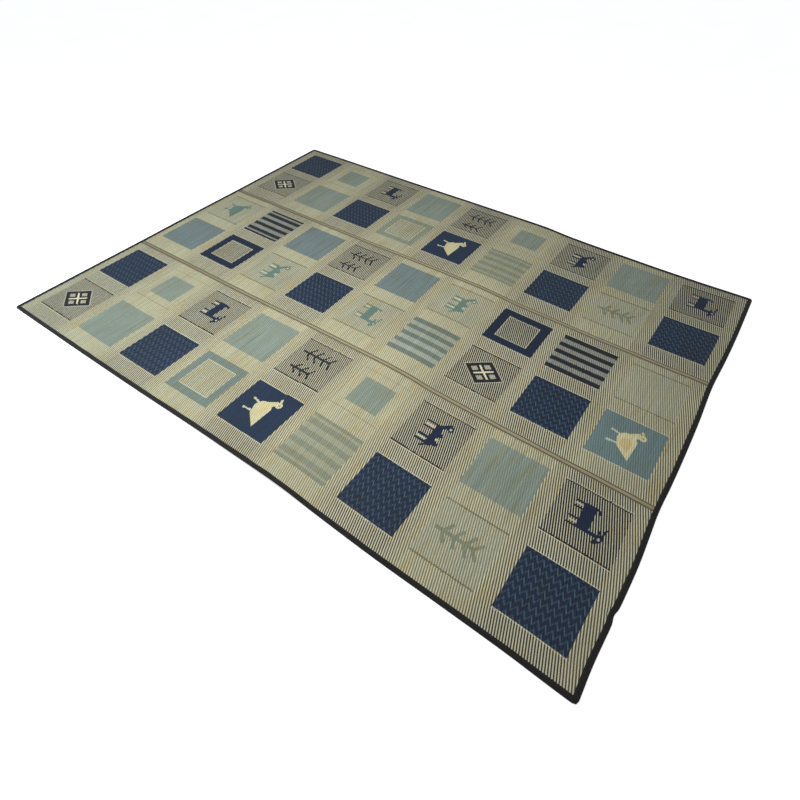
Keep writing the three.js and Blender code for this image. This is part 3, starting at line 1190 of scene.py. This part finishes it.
def binding(which, seed):
    long_side = which in ("near", "far")
    reach = HALF_L if long_side else HALF_W
    out = HALF_W if long_side else HALF_L
    sign = -1 if which in ("near", "left") else 1
    wide, tall, ripple = wander(seed, 5.0), wander(seed + 1, 2.6), wander(seed + 2, 1.3)

    def place(s, ring, lift_by=0.0):
        u = ring[:, 0] * (1 + 0.045 * wide(s) * (ring[:, 0] / 1.7))
        top = np.clip((ring[:, 1] - 0.25) / 0.25, 0, 1)
        z = ring[:, 1] + top * (0.012 * tall(s) + 0.008 * ripple(s)) * np.clip(1.72 - ring[:, 0], 0.2, 1)
        # towards a corner the tape is folded to a mitre
        t = s / reach
        along = np.where(abs(t) > 0, np.sign(t), 0) * np.minimum(abs(s), reach) * np.ones(len(u))
        end = abs(s) / reach
        w = max(0.0, (abs(s) - (reach - 6)) / 6)
        along = np.sign(s) * (abs(s) - u * w - 0.012 * w)
        if long_side:
            return to_frame(along, sign * (out - u), z)
        return to_frame(sign * (out - u), along, z)

    dense = [0, 0.12, 0.26, 0.42, 0.62, 0.85, 1.15, 1.5, 1.95, 2.5, 3.1, 3.8, 4.6]
    inner = np.linspace(-reach + 5.4, reach - 5.4, int(2 * reach / 0.62))
    stations = np.concatenate([-reach + np.array(dense), inner, (reach - np.array(dense))[::-1]])
    ob = sweep("edge_binding_" + which, stations, RING, place, CLOTH, rows=8)
    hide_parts("binding_" + which)
    rng = np.random.RandomState(seed + 5)
    s = -reach + 2.2
    while s < reach - 2.2:
        sec = np.array([[1.42 + rng.uniform(-0.02, 0.02), 0.4825]])
        p, q = place(s, sec)[0], place(s + 0.2, sec)[0]
        d = q - p
        d /= np.linalg.norm(d)
        binding_runs.append((p + np.array([0, 0, 0.00005]), d))
        s += 0.52 + rng.uniform(-0.04, 0.04)
    return ob


bindings = [binding(w, 60 + 10 * i) for i, w in enumerate(("near", "far", "left", "right"))]
binding_thread = stitches("edge_binding_stitching", binding_runs, BLACK, 0.36, 0.040)

for i, ob in enumerate(tapes):
    panels[i + 1].name
    [tape_thread] if i == 0 else []
held_by = ([panels[0]], [panels[2]], panels, panels)
for i, (ob, length) in enumerate(zip(bindings, (2.5, 2.5, 1.91, 1.91))):
    [p.name for p in held_by[i]]
    [binding_thread] if i == 0 else []

# ----------------------------------------------------------------------------
# Floor, light and camera
# ----------------------------------------------------------------------------
g = Graph("floor_paper")
geo = g.node("ShaderNodeNewGeometry")
sep = g.node("ShaderNodeSeparateXYZ")
g.tree.links.new(geo.outputs["Position"], sep.inputs[0])
grain = g.noise(Val(g, sep.outputs[0]) * 3.0, Val(g, sep.outputs[1]) * 3.0, detail=2.0)
FLOOR = g.finish(
    g.mix(g.ramp(grain, 0.35, 0.65), (243, 243, 242), (247, 247, 246)),
    0.9,
    Specular_IOR_Level=0.1,
)
bsdf = [n for n in FLOOR.node_tree.nodes if n.type == "BSDF_PRINCIPLED"][0]
bsdf.inputs["Emission Color"].default_value = (1, 1, 1, 1)
bsdf.inputs["Emission Strength"].default_value = 0.5

R = 9.0
floor = mesh_from(
    "floor",
    np.array([(-R, -R, -0.0004), (R, -R, -0.0004), (R, R, -0.0004), (-R, R, -0.0004)]),
    [[[0, 1, 2, 3]]],
    None,
    [FLOOR],
)

world = bpy.data.worlds.new("studio")
bpy.context.scene.world = world
world.use_nodes = True
bg = world.node_tree.nodes["Background"]
bg.inputs[0].default_value = (0.91, 0.95, 1.0, 1.0)
bg.inputs[1].default_value = 0.575


def area(name, at, aim, size, power, colour):
    data = bpy.data.lights.new(name, "AREA")
    data.shape = "RECTANGLE"
    data.size, data.size_y = size
    data.energy = power
    data.color = colour
    ob = bpy.data.objects.new(name, data)
    ob.location = at
    ob.rotation_euler = (Vector(aim) - Vector(at)).to_track_quat("-Z", "Y").to_euler()
    bpy.context.collection.objects.link(ob)
    return ob


area("key", (-1.5, -1.0, 1.5), (-0.9, -0.6, 0.0), (1.1, 1.1), 15, (0.82, 0.93, 1.0))
area("top", (0.0, -0.5, 1.5), (0.0, -0.4, 0.0), (0.9, 0.9), 21.5, (1.0, 0.985, 0.96))
area("window", (-1.8, -1.3, 0.7), (-1.2, -0.9, 0.0), (0.35, 0.35), 4.2, (0.58, 0.80, 1.0))

cam = bpy.data.cameras.new("camera")
cam.sensor_width = 36.0
cam.lens = 23.504
cam.shift_x = 0.0232
cam.clip_start, cam.clip_end = 0.05, 50
eye = bpy.data.objects.new("camera", cam)
eye.location = (1.040, -1.4485, 1.403)
az, el = math.radians(126.457), math.radians(48.678)
look = Vector((math.cos(el) * math.cos(az), math.cos(el) * math.sin(az), -math.sin(el)))
eye.rotation_euler = look.to_track_quat("-Z", "Y").to_euler()
bpy.context.collection.objects.link(eye)
bpy.context.scene.camera = eye
bpy.context.scene.view_settings.view_transform = "Standard"
bpy.context.scene.view_settings.look = "None"
